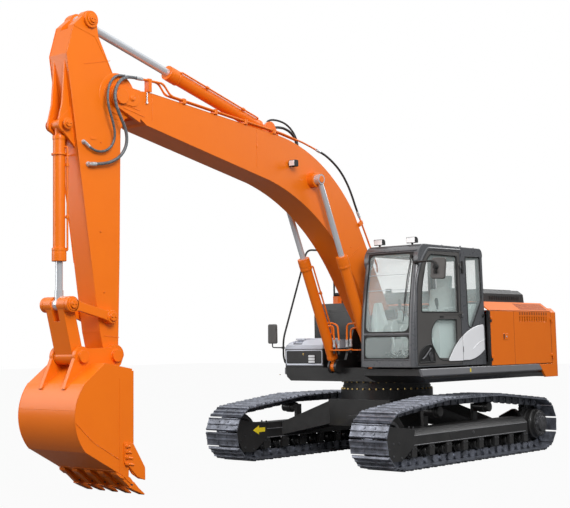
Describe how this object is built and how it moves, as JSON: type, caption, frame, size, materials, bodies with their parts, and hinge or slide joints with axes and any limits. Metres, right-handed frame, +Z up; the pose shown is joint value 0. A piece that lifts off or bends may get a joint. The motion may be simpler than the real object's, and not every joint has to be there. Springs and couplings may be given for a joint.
{
  "type": "crawler excavator",
  "caption": "Orange crawler excavator with a one-piece boom, arm, toothed bucket, left-hand cab, long tracks and opening side doors and hood.",
  "frame": {"origin": "under the middle of the machine's bounding box, at ground level, in the pose as pictured", "axes": "+X forward along the boom, +Y to the machine's left (cab side), +Z up"},
  "size_m": [9.6506, 3.385, 5.5991],
  "materials": {
    "orange": "semi-gloss enamel paint",
    "black_paint": "satin black paint",
    "grey_paint": "satin dark grey paint",
    "track_steel": "bare worn steel",
    "chrome_rod": "polished hard chrome",
    "tinted_glass": "lightly tinted, clear",
    "seat_fabric": "woven seat cloth",
    "cab_plastic": "grained moulding",
    "hose_rubber": "black hose cover"
  },
  "bodies": {
    "undercarriage": {"lower_frame": "black_paint", "tow_plates": "black_paint", "swing_bearing": "black_paint", "track_frame_left": "black_paint", "track_frame_right": "black_paint", "track_left": "track_steel", "track_right": "track_steel", "idlers": "track_steel", "sprockets": "track_steel", "track_rollers": "track_steel"},
    "house": {"house_frame": "black_paint", "boom_brackets": "black_paint", "cover_posts": "black_paint", "side_sills": "grey_paint", "counterweight": "orange", "lifting_bosses": "orange", "engine_block": "black_paint", "top_cover": "orange", "side_tanks": "black_paint", "fuel_filler": "black_paint", "toolbox": "black_paint", "cab_shell": "black_paint", "cab_glass": "tinted_glass", "seat_cushion": "seat_fabric", "seat_back": "seat_fabric", "cab_consoles": "cab_plastic", "cab_lamps": "black_paint", "mirrors": "black_paint", "handrails": "black_paint", "exhaust_pipe": "black_paint"},
    "cab_door": {"cab_door": "black_paint", "cab_door_glass": "tinted_glass"},
    "left_front_door": {"left_front_door": "orange"},
    "left_rear_door": {"left_rear_door": "orange"},
    "right_rear_door": {"right_rear_door": "orange"},
    "engine_hood": {"engine_hood": "black_paint"},
    "toolbox_lid": {"toolbox_lid": "black_paint"},
    "boom": {"boom": "orange", "boom_pipes": "orange", "boom_lamp": "black_paint", "bucket_hose_low": "hose_rubber", "bucket_hose_high": "hose_rubber", "back_hose": "hose_rubber", "arm_hose_thick": "hose_rubber", "arm_hose_thin": "hose_rubber"},
    "arm": {"arm": "orange"},
    "bucket": {"bucket": "orange", "bucket_teeth": "track_steel"},
    "boom_barrels": {"boom_cylinder_barrels": "orange"},
    "boom_rods": {"boom_cylinder_rods": "chrome_rod"},
    "arm_barrel": {"arm_cylinder_barrel": "orange"},
    "arm_rod": {"arm_cylinder_rod": "chrome_rod"},
    "bucket_barrel": {"bucket_cylinder_barrel": "orange"},
    "bucket_rod": {"bucket_cylinder_rod": "chrome_rod"},
    "rocker": {"rocker_links": "orange"},
    "link": {"bucket_link": "orange"}
  },
  "joints": [
    {"name": "swing", "type": "hinge", "parent": "undercarriage", "child": "house", "pos_m": [-1.68542, -0.0975, 1.042], "axis": [0, 0, 1], "continuous": true},
    {"name": "boom_lift", "type": "hinge", "parent": "house", "child": "boom", "pos_m": [-1.43042, -0.0975, 1.91], "axis": [0, -1, 0], "range_deg": [-75, 35]},
    {"name": "arm_crowd", "type": "hinge", "parent": "boom", "child": "arm", "pos_m": [3.91458, -0.0975, 4.632], "axis": [0, 1, 0], "range_deg": [-80, 30]},
    {"name": "bucket_curl", "type": "hinge", "parent": "arm", "child": "bucket", "pos_m": [3.99658, -0.0975, 1.572], "axis": [0, 1, 0], "range_deg": [-45, 100]},
    {"name": "boom_barrel_tilt", "type": "hinge", "parent": "house", "child": "boom_barrels", "pos_m": [-0.87542, -0.0975, 1.325], "axis": [0, -1, 0], "range_deg": [-74.5, 35]},
    {"name": "boom_rod_slide", "type": "slide", "parent": "boom_barrels", "child": "boom_rods", "axis": [0.41, 0, 0.9121], "range_m": [-0.91, 0.43]},
    {"name": "arm_barrel_tilt", "type": "hinge", "parent": "boom", "child": "arm_barrel", "pos_m": [1.06458, -0.0975, 4.6], "axis": [0, -1, 0], "range_deg": [-3, 7.5]},
    {"name": "arm_rod_slide", "type": "slide", "parent": "arm_barrel", "child": "arm_rod", "axis": [0.9652, 0, 0.2617], "range_m": [-1.14, 0.43]},
    {"name": "bucket_barrel_tilt", "type": "hinge", "parent": "arm", "child": "bucket_barrel", "pos_m": [4.67458, -0.0975, 4.215], "axis": [0, 1, 0], "range_deg": [-1.2, 2.6]},
    {"name": "bucket_rod_slide", "type": "slide", "parent": "bucket_barrel", "child": "bucket_rod", "axis": [-0.0107, 0, -0.9999], "range_m": [-0.33, 0.73]},
    {"name": "rocker_turn", "type": "hinge", "parent": "arm", "child": "rocker", "pos_m": [4.06458, -0.0975, 2.015], "axis": [0, 1, 0], "range_deg": [-37.5, 82.5]},
    {"name": "link_turn", "type": "hinge", "parent": "bucket", "child": "link", "pos_m": [4.49458, -0.0975, 1.57], "axis": [0, 1, 0], "range_deg": [-73.5, 33.5]},
    {"name": "cab_door_swing", "type": "hinge", "parent": "house", "child": "cab_door", "pos_m": [-1.67142, 1.2745, 2.1], "axis": [0, 0, 1], "range_deg": [0, 90]},
    {"name": "left_front_door_swing", "type": "hinge", "parent": "house", "child": "left_front_door", "pos_m": [-2.37442, 1.3395, 1.7], "axis": [0, 0, -1], "range_deg": [0, 90]},
    {"name": "left_rear_door_swing", "type": "hinge", "parent": "house", "child": "left_rear_door", "pos_m": [-4.25942, 1.3395, 1.7], "axis": [0, 0, 1], "range_deg": [0, 90]},
    {"name": "right_rear_door_swing", "type": "hinge", "parent": "house", "child": "right_rear_door", "pos_m": [-4.25942, -1.5345, 1.7], "axis": [0, 0, -1], "range_deg": [0, 90]},
    {"name": "engine_hood_lift", "type": "hinge", "parent": "house", "child": "engine_hood", "pos_m": [-2.92342, -0.0975, 2.276], "axis": [0, 1, 0], "range_deg": [0, 60]},
    {"name": "toolbox_lid_lift", "type": "hinge", "parent": "house", "child": "toolbox_lid", "pos_m": [-1.58542, -0.9975, 1.706], "axis": [0, -1, 0], "range_deg": [0, 85]}
  ],
  "couplings": [
    {"joint": "boom_barrel_tilt", "follows": "boom_lift", "ratio": 0.985},
    {"joint": "boom_rod_slide", "follows": "boom_lift", "m_per_rad": 0.69},
    {"joint": "arm_barrel_tilt", "follows": "arm_crowd", "ratio": -0.09},
    {"joint": "arm_rod_slide", "follows": "arm_crowd", "m_per_rad": 0.81},
    {"joint": "bucket_barrel_tilt", "follows": "bucket_curl", "ratio": 0.025},
    {"joint": "bucket_rod_slide", "follows": "bucket_curl", "m_per_rad": 0.415},
    {"joint": "rocker_turn", "follows": "bucket_curl", "ratio": 0.82},
    {"joint": "link_turn", "follows": "bucket_curl", "ratio": -0.73}
  ]
}
